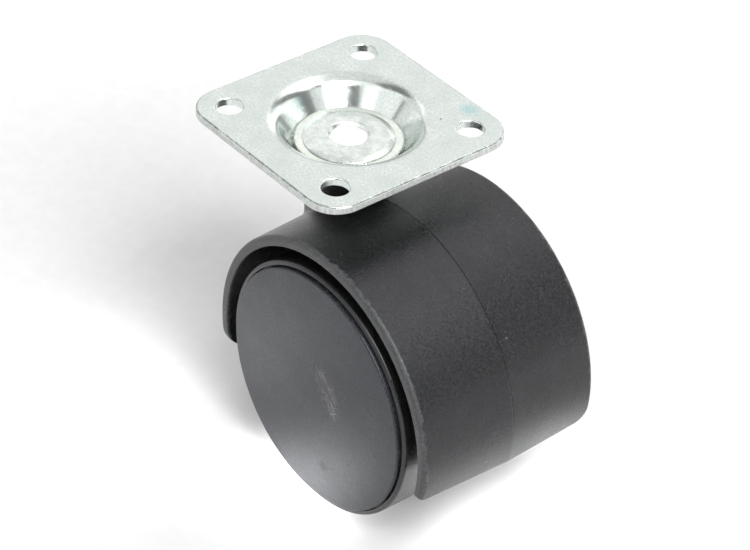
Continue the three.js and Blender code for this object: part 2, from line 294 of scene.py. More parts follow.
def lathe(bm, profile, segments, place, closed=True):
    """Revolves (radius, height) points. place(radius, height, angle) gives each vertex."""
    rings = []
    for radius, height in profile:
        if radius < 1e-6:
            rings.append([bm.verts.new(place(0.0, height, 0.0))] * segments)
            continue
        ring = [bm.verts.new(place(radius, height, TAU * k / segments)) for k in range(segments)]
        rings.append(ring)
    pairs = list(zip(rings, rings[1:]))
    if closed:
        pairs.append((rings[-1], rings[0]))
    for low, high in pairs:
        for k in range(segments):
            n = (k + 1) % segments
            corners = []
            for vert in (low[k], low[n], high[n], high[k]):
                if vert not in corners:
                    corners.append(vert)
            if len(corners) > 2:
                bm.faces.new(corners)


def upright(radius, height, angle):
    """A turned point about the swivel axis."""
    return (radius * math.cos(angle), radius * math.sin(angle), height)


def on_axle(side):
    """Places turned points about the axle, with heights out towards that side."""
    def place(radius, height, angle):
        x = AXLE_X + radius * math.cos(angle)
        return (x, side * height, AXLE_Z + radius * math.sin(angle))
    return place


def turned_piece(name, corners, place, segments, closed=True, **rest):
    """A turned piece whose corners are (radius, height, rounding)."""
    bm = bmesh.new()
    lathe(bm, rounded(corners, closed), segments, place, closed)
    return finish_mesh(name, bm, **rest)


def temporary(bm):
    """A scratch object, in millimetres, to join or cut with."""
    clean(bm)
    return make_object("scratch", bm)


def discard(thing):
    """Removes a scratch object and its mesh."""
    used = thing.data
    bpy.data.objects.remove(thing)
    bpy.data.meshes.remove(used)


def combine(base, tool, operation):
    """Joins or cuts base with tool, and removes tool."""
    change = base.modifiers.new("combine", "BOOLEAN")
    change.object = tool
    change.operation = operation
    change.solver = "MANIFOLD"
    graph = bpy.context.evaluated_depsgraph_get()
    graph.update()
    result = bpy.data.meshes.new_from_object(base.evaluated_get(graph))
    base.modifiers.clear()
    old = base.data
    base.data = result
    bpy.data.meshes.remove(old)
    discard(tool)


def take_mesh(thing):
    """The scratch object's mesh as a bmesh; the object goes."""
    bm = bmesh.new()
    bm.from_mesh(thing.data)
    discard(thing)
    return bm


def bar(radius, low, high, place, segments=96, edge=0.15):
    """A scratch round bar with softened ends."""
    bm = bmesh.new()
    corners = [(0, low), (radius, low, edge), (radius, high, edge), (0, high)]
    lathe(bm, rounded(corners, closed=False, steps=3), segments, place, closed=False)
    return temporary(bm)


# ---- material helpers


def grey(value, tint=(1.0, 1.0, 1.0)):
    """A grey of that value, times a tint, as an opaque colour."""
    return tuple(value * t for t in tint) + (1.0,)


class Surface:
    """A procedural material being built. Coordinates are the piece's own, in millimetres."""

    def __init__(self, name):
        self.material = bpy.data.materials.new(name)
        self.material.use_nodes = True
        self.tree = self.material.node_tree
        self.shader = self.tree.nodes["Principled BSDF"]
        coordinates = self.new("TexCoord")
        scaled = self.new("VectorMath")
        scaled.operation = "SCALE"
        scaled.inputs["Scale"].default_value = 1 / MM
        self.tree.links.new(coordinates.outputs["Object"], scaled.inputs[0])
        self.point = scaled.outputs[0]

    def new(self, kind):
        return self.tree.nodes.new("ShaderNode" + kind)

    def feed(self, socket, value):
        """Links a socket to an output, or sets it to a constant."""
        if isinstance(value, bpy.types.NodeSocket):
            self.tree.links.new(value, socket)
        else:
            socket.default_value = value

    def apply(self, kind, operation, values):
        node = self.new(kind)
        node.operation = operation
        for socket, value in zip(node.inputs, values):
            self.feed(socket, value)
        return node

    def math(self, operation, *values, clamp=False):
        node = self.apply("Math", operation, values)
        node.use_clamp = clamp
        return node.outputs[0]

    def times(self, first, *others):
        """Product of all the values."""
        for other in others:
            first = self.math("MULTIPLY", first, other)
        return first

    def plus(self, first, second, clamp=False):
        return self.math("ADD", first, second, clamp=clamp)

    def vector(self, operation, *values):
        node = self.apply("VectorMath", operation, values)
        measures = ("LENGTH", "DISTANCE", "DOT_PRODUCT")
        return node.outputs["Value" if operation in measures else "Vector"]

    def along(self, axis):
        """The point's coordinate along an axis of the piece."""
        node = self.new("SeparateXYZ")
        self.feed(node.inputs[0], self.point)
        return node.outputs[axis]

    def stretched(self, scale, turn=(0, 0, 0)):
        """Coordinates along axes turned from the piece's own, each then scaled."""
        node = self.new("Mapping")
        node.vector_type = "TEXTURE"
        self.feed(node.inputs["Vector"], self.point)
        node.inputs["Rotation"].default_value = turn
        node.inputs["Scale"].default_value = [1 / k for k in scale]
        return node.outputs[0]

    def noise(self, size, detail=2.0, rough=0.5, point=None, distortion=0.0):
        """Noise whose largest features are about size millimetres."""
        node = self.new("TexNoise")
        self.feed(node.inputs["Vector"], point or self.point)
        node.inputs["Scale"].default_value = 1 / size
        node.inputs["Detail"].default_value = detail
        node.inputs["Roughness"].default_value = rough
        node.inputs["Distortion"].default_value = distortion
        return node.outputs["Fac"]

    def dots(self, size, low, high):
        """1 at the centres of cells about size millimetres wide, 0 away from them."""
        node = self.new("TexVoronoi")
        self.feed(node.inputs["Vector"], self.point)
        node.inputs["Scale"].default_value = 1 / size
        return self.remap(node.outputs["Distance"], low, high, 1.0, 0.0)

    def remap(self, value, low, high, to_low=0.0, to_high=1.0, smooth=False):
        """Takes low to to_low and high to to_high, and holds those beyond them."""
        node = self.new("MapRange")
        node.interpolation_type = "SMOOTHSTEP" if smooth else "LINEAR"
        for socket, given in zip(node.inputs, (value, low, high, to_low, to_high)):
            self.feed(socket, given)
        return node.outputs[0]

    def mix(self, share, first, second):
        """Mixes two colours."""
        node = self.new("Mix")
        node.data_type = "RGBA"
        self.feed(node.inputs[0], share)
        self.feed(node.inputs[6], first)
        self.feed(node.inputs[7], second)
        return node.outputs[2]

    def near(self, place, radius, soft):
        """1 within radius of a place, falling to 0 over soft millimetres."""
        away = self.vector("DISTANCE", self.point, place)
        return self.remap(away, radius, radius + soft, 1.0, 0.0, smooth=True)

    def done(
        self, colour, rough, height=None, lift=0.01, metallic=0.0, level=0.5, tint=(1, 1, 1)
    ):
        """Connects colour, roughness and a height in millimetres, and sets the constants."""
        self.feed(self.shader.inputs["Base Color"], colour)
        self.feed(self.shader.inputs["Roughness"], rough)
        self.shader.inputs["Metallic"].default_value = metallic
        self.shader.inputs["Specular IOR Level"].default_value = level
        self.shader.inputs["Specular Tint"].default_value = grey(1.0, tint)
        if height is not None:
            node = self.new("Bump")
            node.inputs["Strength"].default_value = 1.0
            node.inputs["Distance"].default_value = lift * MM
            self.feed(node.inputs["Height"], height)
            self.tree.links.new(node.outputs[0], self.shader.inputs["Normal"])
        return self.material


# ---- materials


def zinc_plate_material():
    """Bright zinc plating: green-grey mottle, fine speckle, scratches, worn cut edges."""
    s = Surface("zinc_plate")
    z = s.along("Z")
    cloud = s.noise(6.0, 4.0, 0.6)
    grain = s.noise(0.5, 4.0, 0.75)
    speck = s.times(s.dots(0.9, 0.06, 0.15), s.remap(s.noise(1.6, 1.0), 0.54, 0.64))
    scratch = 0.0
    for turn in (0.5, -0.3, 1.2):
        streak = s.noise(0.9, 2.0, 0.6, s.stretched((0.05, 1.5, 1.0), (0, 0, turn)))
        scratch = s.math("MAXIMUM", s.remap(streak, 0.67, 0.75), scratch)
    dull, bright = grey(0.72, (0.95, 1.02, 0.98)), grey(0.83, (0.97, 1.02, 0.98))
    base = s.mix(s.remap(cloud, 0.35, 0.66), dull, bright)
    base = s.mix(s.remap(grain, 0.36, 0.66, 0.0, 0.75), base, grey(0.58, (0.93, 1.03, 0.98)))
    teal = s.times(s.near(TEAL_ON_FLAT, 0.4, 2.4), s.remap(grain, 0.3, 0.6, 0.4, 1.0))
    teal_dish = s.times(s.near(TEAL_IN_DISH, 0.5, 1.9), 0.7)
    teal = s.times(s.math("MAXIMUM", teal, teal_dish), 0.75)
    base = s.mix(teal, base, (0.36, 0.6, 0.6, 1.0))
    base = s.mix(s.times(speck, 0.6), base, grey(0.3))
    base = s.mix(s.near(PLATE_DOT, 0.12, 0.12), base, grey(0.1))
    base = s.mix(s.times(scratch, 0.35), base, grey(0.95))
    # How far a point is from the outline of the rounded square, inwards.
    flat = s.vector("ABSOLUTE", s.vector("MULTIPLY", s.point, (1, 1, 0)))
    corner = PLATE_HALF - PLATE_CORNER
    beyond = s.vector("SUBTRACT", flat, (corner, corner, 0))
    outside = s.vector("LENGTH", s.vector("MAXIMUM", beyond, (0, 0, 0)))
    inset = s.math("SUBTRACT", PLATE_CORNER, outside)
    # A broken dark line round the top of the cut edge, and a scored band below it.
    top_line = s.times(
        s.remap(inset, 0.42, 0.16, 0.0, 1.0, smooth=True),
        s.remap(z, -0.42, -0.16, 0.0, 1.0, smooth=True),
    )
    torn = s.times(
        s.remap(s.noise(1.9, 4.0, 0.7), 0.36, 0.56), s.remap(grain, 0.35, 0.6, 0.35, 1.0)
    )
    line = s.times(top_line, torn)
    base = s.mix(s.times(line, 0.9), base, (0.16, 0.16, 0.14, 1.0))
    band = s.remap(z, -0.3, -0.42, 0.0, 1.0, smooth=True)
    band = s.times(band, s.remap(inset, 0.3, 0.1, 0.0, 1.0))
    scored = s.noise(0.6, 4.0, 0.7, s.stretched((1.0, 1.0, 0.5)))
    base = s.mix(s.times(band, s.remap(scored, 0.4, 0.65, 0.3, 0.9)), base, grey(0.4))
    rough = s.remap(cloud, 0.3, 0.7, 0.26, 0.18)
    rough = s.plus(rough, s.remap(grain, 0.3, 0.7, -0.04, 0.08))
    rough = s.plus(rough, s.times(band, 0.2), clamp=True)
    # The punch left the dish smoother than the flat.
    middle = s.vector("LENGTH", flat)
    rough = s.times(rough, s.remap(middle, 12.5, 15.5, 0.6, 1.0, smooth=True))
    height = s.plus(s.times(grain, 0.7), s.times(scratch, -0.5))
    height = s.plus(height, s.times(line, -2.0))
    height = s.plus(height, s.times(band, scored, 1.2))
    return s.done(base, rough, height, lift=0.012, metallic=0.92)


def pin_steel_material():
    """Zinc plated rivet head and washer: bright, blotched on the head, with a painted dark
    reflection line round the washer's rim.
    """
    s = Surface("pin_steel")
    radius = s.vector("LENGTH", s.vector("MULTIPLY", s.point, (1, 1, 0)))
    cloud = s.noise(2.0, 4.0, 0.65)
    grain = s.noise(0.35, 4.0, 0.7)
    rings = s.noise(1.0, 2.0, 0.5, s.stretched((0.2, 0.2, 1.0)))
    dull, bright = grey(0.68, (0.95, 1.02, 0.97)), grey(0.86, (0.98, 1.01, 0.98))
    base = s.mix(s.remap(cloud, 0.4, 0.62), dull, bright)
    base = s.mix(s.remap(grain, 0.4, 0.7, 0.0, 0.4), base, grey(0.6, (0.95, 1.02, 0.97)))
    on_head = s.remap(radius, HEAD_R, HEAD_R - 0.1)
    pitted = s.times(s.dots(0.5, 0.1, 0.22), s.remap(s.noise(1.6, 2.0), 0.48, 0.6))
    base = s.mix(s.times(pitted, on_head, 0.45), base, grey(0.3))
    in_dimple = s.remap(radius, DIMPLE_R + 0.1, DIMPLE_R - 0.05)
    base = s.mix(s.times(in_dimple, 0.8), base, grey(0.97, (1.0, 1.0, 0.99)))
    # A broken, brown-tinted dark line round the washer's outer edge: a painted reflection of the
    # fillet.
    painted_rim_line = s.times(s.remap(radius, 9.6, 9.9), s.remap(s.noise(1.1, 3.0), 0.5, 0.62))
    base = s.mix(s.times(painted_rim_line, 0.6), base, (0.36, 0.25, 0.13, 1.0))
    cream = s.times(s.remap(radius, HEAD_R, HEAD_R + 0.2), s.remap(radius, 9.9, 9.6))
    base = s.mix(s.times(cream, 0.5), base, (0.9, 0.94, 0.85, 1.0))
    rough = s.plus(s.remap(cloud, 0.3, 0.7, 0.28, 0.2), s.remap(rings, 0.3, 0.7, -0.03, 0.03))
    rough = s.plus(rough, s.times(in_dimple, 0.08))
    height = s.plus(grain, s.times(pitted, -1.5))
    return s.done(base, rough, height, lift=0.014, metallic=0.9)


def steel_material(name, value, rough_low, rough_high, tint=(1.0, 1.0, 1.0)):
    """Plain hidden steel parts: turned lines, stains and fine grain."""
    s = Surface(name)
    cloud = s.noise(2.0, 3.0, 0.6)
    grain = s.noise(0.2, 2.0, 0.6)
    lines = s.noise(0.5, 2.0, 0.5, s.stretched((0.15, 2.2, 0.15)))
    base = s.mix(s.remap(cloud, 0.35, 0.65), grey(value * 0.72, tint), grey(value, tint))
    base = s.mix(s.remap(grain, 0.4, 0.7, 0.0, 0.3), base, grey(value * 0.5, tint))
    rough = s.remap(cloud, 0.3, 0.7, rough_high, rough_low)
    rough = s.plus(rough, s.remap(lines, 0.3, 0.7, -0.04, 0.04))
    height = s.plus(grain, s.times(lines, 0.8))
    return s.done(base, rough, height, lift=0.01, metallic=0.95)


def nylon(s, value, tint, grain_size):
    """The moulded black plastic that the hood, wheels and caps share, with its fine grain."""
    grain = s.noise(grain_size, 4.0, 0.75)
    fine = s.noise(grain_size * 0.4, 3.0, 0.7)
    cloud = s.noise(6.0, 4.0, 0.6)
    base = s.mix(s.remap(cloud, 0.3, 0.7), grey(value * 0.6, tint), grey(value * 1.4, tint))
    base = s.mix(s.remap(grain, 0.52, 0.68, 0.0, 0.8), base, grey(value * 5.0, tint))
    dust = s.times(s.dots(1.6, 0.03, 0.09), s.remap(s.noise(4.0, 3.0, 0.7), 0.5, 0.62))
    base = s.mix(s.times(dust, 0.3), base, grey(0.3))
    rough = s.remap(cloud, 0.3, 0.7, 0.34, 0.28)
    rough = s.plus(rough, s.remap(grain, 0.3, 0.7, -0.09, 0.11))
    height = s.plus(s.times(grain, 0.7), s.times(fine, 0.4))
    return base, rough, height


def hood_material():
    """Charcoal nylon with a fine grain, a pale worn rim with torn flash, and one small pit."""
    s = Surface("hood_nylon")
    base, rough, height = nylon(s, 0.006, (0.97, 0.98, 1.03), 0.45)
    away = s.math("ABSOLUTE", s.along("Y"))
    wear = s.noise(0.5, 4.0, 0.75)
    # Where the wear stops wanders along the rim.
    ragged = s.plus(away, s.remap(s.noise(1.3, 4.0, 0.7), 0.3, 0.7, -0.45, 0.45))
    edge = s.remap(ragged, HOOD_HALF - 1.0, HOOD_HALF - 0.5, 0.0, 1.0, smooth=True)
    edge = s.times(edge, s.remap(wear, 0.3, 0.6, 0.3, 1.0))
    base = s.mix(s.times(edge, 0.5), base, grey(0.1, (0.98, 1.0, 1.02)))
    flash = s.remap(s.noise(0.5, 4.0, 0.8), 0.6, 0.68)
    flash = s.times(flash, s.remap(s.noise(5.0, 2.0, 0.6), 0.45, 0.6))
    flash = s.times(flash, s.remap(ragged, HOOD_HALF - 0.8, HOOD_HALF - 0.5))
    base = s.mix(s.times(flash, 0.6), base, grey(0.45))
    pit = s.near(HOOD_PIT, 0.24, 0.16)
    base = s.mix(pit, base, grey(0.004))
    base = s.mix(s.times(s.near(HOOD_SPECK, 0.12, 0.12), 0.5), base, grey(0.2))
    height = s.plus(height, s.times(pit, -3.0))
    height = s.plus(height, s.times(edge, wear))
    rough = s.plus(rough, s.times(edge, 0.12), clamp=True)
    return s.done(base, rough, height, lift=0.06, level=0.45, tint=(0.98, 0.99, 1.03))


def wheel_material():
    """Black nylon of the rolling mouldings: finer, with faint rolling marks on the tread."""
    s = Surface("wheel_nylon")
    base, rough, height = nylon(s, 0.006, (0.98, 0.99, 1.03), 0.35)
    centre = (AXLE_X, 0, AXLE_Z)
    from_axle = s.vector("MULTIPLY", s.vector("SUBTRACT", s.point, centre), (1, 0, 1))
    radius = s.vector("LENGTH", from_axle)
    on_tread = s.remap(radius, WHEEL_R - 0.35, WHEEL_R - 0.1)
    rub = s.noise(1.2, 3.0, 0.6, s.stretched((0.3, 3.0, 0.3)))
    rub = s.times(on_tread, s.remap(rub, 0.45, 0.7))
    base = s.mix(s.times(rub, 0.25), base, grey(0.04))
    rough = s.plus(rough, s.times(rub, 0.08), clamp=True)
    return s.done(base, rough, height, lift=0.015, level=0.6, tint=(0.98, 0.99, 1.03))


def cap_material():
    """Bluish grey-black cap, satin, with pale crossed scuffs near the middle of the near one."""
    s = Surface("cap_nylon")
    base, rough, height = nylon(s, 0.012, (0.93, 0.97, 1.12), 0.4)
    flat = s.vector("SUBTRACT", s.vector("MULTIPLY", s.point, (1, 0, 1)), SCUFF_CENTRE)
    # The scuffs gather along a steep line: long that way, short across.
    along = s.vector("DOT_PRODUCT", flat, (0.5, 0.0, -0.87))
    across = s.vector("DOT_PRODUCT", flat, (0.87, 0.0, 0.5))
    spread = s.plus(
        s.math("POWER", s.math("DIVIDE", along, SCUFF_LONG), 2.0),
        s.math("POWER", s.math("DIVIDE", across, SCUFF_SHORT), 2.0),
    )
    scuffed = s.remap(spread, 0.1, 1.0, 1.0, 0.0, smooth=True)
    scuffed = s.times(scuffed, s.remap(s.along("Y"), 0.0, -1.0))
    marks = 0.0
    for turn, low in ((1.02, 0.6), (0.84, 0.6), (1.2, 0.61), (0.6, 0.63), (-0.6, 0.65)):
        point = s.stretched((0.2, 1.0, 2.8), (0, turn, 0))
        streak = s.noise(0.7, 3.0, 0.65, point, distortion=0.5)
        marks = s.math("MAXIMUM", s.remap(streak, low, low + 0.07), marks)
    marks = s.times(marks, scuffed, 0.85)
    haze = s.times(scuffed, s.remap(s.noise(0.9, 4.0, 0.7), 0.4, 0.7), 0.3)
    base = s.mix(haze, base, grey(0.12, (1.0, 0.99, 0.97)))
    base = s.mix(marks, base, grey(0.26, (1.0, 0.99, 0.96)))
    for place in NICKS:
        base = s.mix(s.near(place, 0.22, 0.16), base, grey(0.004))
    smudge = s.near(SMUDGE, 0.5, 1.2)
    base = s.mix(s.times(smudge, 0.6), base, grey(0.004))
    height = s.plus(height, s.times(marks, -1.5))
    rough = s.plus(rough, s.times(marks, 0.15), clamp=True)
    rough = s.plus(rough, s.times(smudge, 0.1), clamp=True)
    return s.done(base, rough, height, lift=0.05, level=0.45, tint=(0.93, 0.96, 1.08))


def acetal_material():
    """Ivory acetal of the hub bushes, faintly mottled and satin."""
    s = Surface("bush_acetal")
    cloud = s.noise(1.5, 3.0, 0.6)
    grain = s.noise(0.2, 2.0, 0.6)
    base = s.mix(s.remap(cloud, 0.3, 0.7), (0.66, 0.64, 0.56, 1), (0.78, 0.76, 0.7, 1))
    rough = s.remap(grain, 0.3, 0.7, 0.32, 0.48)
    return s.done(base, rough, grain, lift=0.01)


def paper_material():
    """Matte white paper of the studio floor, with a painted glow in soft pools and far away; no
    lamp lights it from below.
    """
    s = Surface("studio_paper")
    fibre = s.noise(3.0, 4.0, 0.6)
    base = s.mix(s.remap(fibre, 0.3, 0.7), grey(0.6), grey(0.63))
    glow = 0.0
    # Painted pools of light: the paper glows here though it is no lamp.
    for x, y, spread, strength in PAINTED_LIGHT_POOLS:
        away = s.math("DIVIDE", s.vector("DISTANCE", s.point, (x, y, FLOOR_Z)), spread)
        fall = s.math("EXPONENT", s.times(away, away, -0.5))
        glow = s.plus(s.times(fall, strength), glow)
    # Painted even glow far from the axle.
    far = s.vector("DISTANCE", s.point, (AXLE_X, 0, FLOOR_Z))
    glow = s.plus(s.remap(far, GLOW_FROM, GLOW_FULL, 0.0, GLOW, smooth=True), glow)
    s.shader.inputs["Emission Color"].default_value = grey(1.0)
    s.feed(s.shader.inputs["Emission Strength"], glow)
    return s.done(base, s.remap(fibre, 0.3, 0.7, 0.85, 0.95), level=0.1)


def card_material():
    """Black card with a faint fibre."""
    s = Surface("black_card")
    fibre = s.noise(4.0, 4.0, 0.6)
    base = s.mix(s.remap(fibre, 0.3, 0.7), grey(0.012), grey(0.02))
    return s.done(base, s.remap(fibre, 0.3, 0.7, 0.85, 0.95), level=0.1)


# The looks of each of the record's material slots.
MATERIALS = {
    "zinc_plate": zinc_plate_material(),
    "pin_steel": pin_steel_material(),
    "inner_steel": steel_material("inner_steel", 0.62, 0.28, 0.42),
    "spring_steel": steel_material("spring_steel", 0.34, 0.3, 0.45, (0.95, 0.97, 1.05)),
    "hood_nylon": hood_material(),
    "wheel_nylon": wheel_material(),
    "cap_nylon": cap_material(),
    "bush_acetal": acetal_material(),
}
PAPER = paper_material()
CARD = card_material()


# ---- the top plate

SCREWS = [(x * SCREW_OFFSET, y * SCREW_OFFSET) for x in (-1, 1) for y in (-1, 1)]


def circle(cx, cy, radius, steps):
    """Points round (cx, cy)."""
    return [
        (cx + radius * math.cos(TAU * k / steps), cy + radius * math.sin(TAU * k / steps))
        for k in range(steps)
    ]


def plate_outline(inset, arc_steps=14, side_steps=14):
    """The rounded square, moved in by inset, as points in order."""
    half, radius = PLATE_HALF - inset, PLATE_CORNER - inset
    centre = PLATE_HALF - PLATE_CORNER
    points = []
    for quarter in range(4):
        turn = quarter * math.pi / 2
        c, s = round(math.cos(turn)), round(math.sin(turn))
        local = []
        for k in range(side_steps):
            local.append((half, -centre + 2 * centre * k / side_steps))
        for k in range(arc_steps):
            a = math.pi / 2 * k / arc_steps
            local.append((centre + radius * math.cos(a), centre + radius * math.sin(a)))
        points += [(px * c - py * s, px * s + py * c) for px, py in local]
    return points


def edge_rows(top_steps=6, bottom_steps=3):
    """(inset, z) from the top face round a blanked edge to the bottom face."""
    rows = []
    for k in range(top_steps + 1):
        a = math.pi / 2 * k / top_steps
        rows.append((ROLL_TOP * (1 - math.sin(a)), -ROLL_TOP * (1 - math.cos(a))))
    low = -PLATE_T + ROLL_BOTTOM
    rows += [(0, -ROLL_TOP - 0.1), (0, -0.75), (0, low + 0.1)]
    for k in range(bottom_steps + 1):
        a = math.pi / 2 * k / bottom_steps
        rows.append((ROLL_BOTTOM * (1 - math.cos(a)), low - ROLL_BOTTOM * math.sin(a)))
    return rows


def plate_z(x, y, z):
    """A hardly visible unevenness of the pressed sheet."""
    return z + 0.03 * (noise.noise(Vector((x / 11, y / 11, 3.1))) - 0.2)


def inside_flat(px, py):
    """Distance to the nearest edge of the sheet's flat part; negative outside it."""
    corner = PLATE_HALF - PLATE_CORNER
    qx, qy = max(abs(px) - corner, 0), max(abs(py) - corner, 0)
    inside = PLATE_CORNER - ROLL_TOP - math.hypot(qx, qy)
    if qx == 0 and qy == 0:
        inside = PLATE_CORNER
    for cx, cy in SCREWS:
        inside = min(inside, math.hypot(px - cx, py - cy) - SCREW_R - ROLL_TOP)
    return min(inside, math.hypot(px, py) - JOIN_R)


def triangulate_flat(loops):
    """Points and triangles of the flat, and which points each loop went to."""
    given, edges, starts = [], [], []
    for loop in loops:
        first = len(given)
        starts.append(first)
        given += [Vector(p) for p in loop]
        edges += [(first + k, first + (k + 1) % len(loop)) for k in range(len(loop))]
    pitch = 1.5
    for row in range(-16, 17):
        for col in range(-16, 17):
            px = (col + 0.5 * (row % 2)) * pitch
            py = row * pitch * 0.9
            if inside_flat(px, py) > 0.7:
                given.append(Vector((px, py)))
    points, _, faces, origins, _, _ = delaunay_2d_cdt(given, edges, [], 0, 1e-6)
    where = {}
    for index, sources in enumerate(origins):
        for source in sources:
            where[source] = index
    triangles = []
    for face in faces:
        middle = sum((points[v] for v in face), Vector((0, 0))) / len(face)
        if inside_flat(middle.x, middle.y) > -1e-3:
            triangles.append(face)
    rings = [[where[start + k] for k in range(len(loop))] for start, loop in zip(starts, loops)]
    return points, triangles, rings


def join_rings(bm, first, second):
    """Quads between two closed rings of as many vertices."""
    count = len(first)
    for k in range(count):
        n = (k + 1) % count
        bm.faces.new((first[k], first[n], second[n], second[k]))


def join_all(bm, rings):
    """Quads between each ring and the next."""
    for first, second in zip(rings, rings[1:]):
        join_rings(bm, first, second)


def close_ends(bm, rings):
    """Faces over the first and the last ring."""
    bm.faces.new(rings[0])
    bm.faces.new(rings[-1])


def top_plate():
    """The pressed plate: a flat with four screw holes, round a dish with the pin's hole."""
    bm = bmesh.new()
    circle_steps, hole_steps = 192, 56
    loops = [plate_outline(ROLL_TOP), plate_outline(ROLL_TOP + FLAT_MARGIN)]
    for cx, cy in SCREWS:
        loops.append(circle(cx, cy, SCREW_R + ROLL_TOP, hole_steps))
        loops.append(circle(cx, cy, SCREW_R + ROLL_TOP + FLAT_MARGIN, hole_steps))
    loops.append(circle(0, 0, JOIN_R, circle_steps))
    points, triangles, loop_points = triangulate_flat(loops)
    top, bottom = {}, {}
    for face in triangles:
        for v in face:
            if v not in top:
                px, py = points[v]
                top[v] = bm.verts.new((px, py, plate_z(px, py, 0)))
                bottom[v] = bm.verts.new((px, py, plate_z(px, py, -PLATE_T)))
    for face in triangles:
        bm.faces.new([top[v] for v in face])
        bm.faces.new([bottom[v] for v in reversed(face)])

    def wall(index, rows):
        """Closes a loop of the flat from top to bottom through rows of (outline, z)."""
        rings = [[top[v] for v in loop_points[index]]]
        for outline, z in rows:
            rings.append([bm.verts.new((px, py, plate_z(px, py, z))) for px, py in outline])
        rings.append([bottom[v] for v in loop_points[index]])
        join_all(bm, rings)

    rolled = edge_rows()[1:]
    wall(0, [(plate_outline(inset), z) for inset, z in rolled])
    for number, (cx, cy) in enumerate(SCREWS):
        rows = [(circle(cx, cy, SCREW_R + inset, hole_steps), z) for inset, z in rolled]
        wall(2 + 2 * number, rows)

    under_rim = DISH_RIM_R + DISH_UNDER_SHIFT
    under_floor = DISH_FLOOR_R + DISH_UNDER_SHIFT
    floor = -DISH_DEPTH
    corners = [
        (JOIN_R, 0),
        (DISH_RIM_R, 0, DISH_RIM_FILLET),
        (DISH_FLOOR_R, floor, DISH_FLOOR_FILLET),
        (PIN_HOLE_R, floor, 0.15),
        (PIN_HOLE_R, floor - PLATE_T, 0.15),
        (under_floor, floor - PLATE_T, DISH_UNDER_FILLET),
        (under_rim, -PLATE_T, DISH_RIM_FILLET - PLATE_T),
        (JOIN_R, -PLATE_T),
    ]
    profile = rounded(corners, closed=False, steps=12, hold=0.25)
    wall(len(loops) - 1, [(circle(0, 0, r, circle_steps), z) for r, z in profile[1:-1]])
    return finish_mesh("plate_pressing", bm, "zinc_plate", "plate_set", "top_plate")


# ---- the pin and its rings


def kingpin():
    """The rivet: dimpled head, collar under the plate, and a groove near the stem's end."""
    corners = [
        (0, STEM_END),
        (STEM_R, STEM_END, 0.6),
        (STEM_R, SNAP_GROOVE[0], 0.08),
        (SNAP_GROOVE_R, SNAP_GROOVE[0], 0.08),
        (SNAP_GROOVE_R, SNAP_GROOVE[1], 0.08),
        (STEM_R, SNAP_GROOVE[1], 0.08),
        (STEM_R, COLLAR[0], 0.1),
        (COLLAR_R, COLLAR[0], 0.2),
        (COLLAR_R, COLLAR[1], 0.2),
        (STEM_R, COLLAR[1], 0.1),
        (STEM_R, HEAD_UNDER, 0.1),
        (HEAD_R, HEAD_UNDER, 0.09),
        (HEAD_R, -4.12, 0.1),
        (7.4, -3.72, 1.6),
        (5.6, -3.52, 2.5),
        (3.95, HEAD_TOP, 0.3),
        (DIMPLE_R, DIMPLE_FLOOR, 0.22),
        (0, DIMPLE_FLOOR),
    ]
    return turned_piece(
        "rivet_pin", corners, upright, 160, closed=False,
        slot="pin_steel", body="plate_set", node="kingpin",
    )


def ring_corners(size, edge):
    """Section of a ring, from its inner and outer radius, its two ends and its rounding."""
    inner, outer, low, high = size
    return [(inner, low, edge), (outer, low, edge), (outer, high, edge), (inner, high, edge)]


def ring_piece(name, size, edge, segments=128, **rest):
    """A plain ring."""
    return turned_piece(name, ring_corners(size, edge), segments=segments, **rest)


def split_ring(name, size, gap, place, steps=96, **rest):
    """A flat spring ring with rounded edges and a gap in the middle of which the angle is 0."""
    bm = bmesh.new()
    section = rounded(ring_corners(size, 0.1), steps=3)
    rings = []
    for k in range(steps + 1):
        angle = gap / 2 + (TAU - gap) * k / steps
        rings.append([bm.verts.new(place(r, h, angle)) for r, h in section])
    join_all(bm, rings)
    close_ends(bm, rings)
    return finish_mesh(name, bm, **rest)


# ---- the hood


def shell_radius(y):
    """Outer radius of the drafted shell about the hood's own centre line."""
    return HOOD_RIM_R + HOOD_RISE * (1 - abs(y) / HOOD_HALF)


def end_height(rear, y, inset):
    """Height of the skirt's end at y, on an outline moved in by inset."""
    corners = REAR_CORNERS if rear else FRONT_CORNERS
    radius = corners[0] if y < 0 else corners[1]
    base = (REAR_END if rear else FRONT_END) + inset
    past = abs(y) - (HOOD_HALF - radius)
    if past <= 0:
        return base
    arc = radius - inset
    return base + arc - math.sqrt(max(arc * arc - past * past, 0.0))


def hood_columns():
    """Places across the hood, close together at the parting line and round the corners."""
    near = [0, PARTING_HALF / 2, PARTING_HALF, 0.24, 0.4, 0.9, 1.8, 3.2, 5, 7, 9, 11, 13, 14.2]
    start = HOOD_HALF - max(FRONT_CORNERS)
    arc = [start + max(FRONT_CORNERS) * math.sin(math.pi / 2 * k / 16) for k in range(17)]
    right = near + arc
    return [-y for y in reversed(right[1:])] + right


def parting_groove(y, share):
    """Depth of the parting line, a share of the way from the rear end, where it fades out."""
    depth = PARTING_DEPTH * min(max((share - 0.03) / 0.25, 0.0), 1.0)
    return depth * max(1 - abs(y) / PARTING_HALF, 0.0)


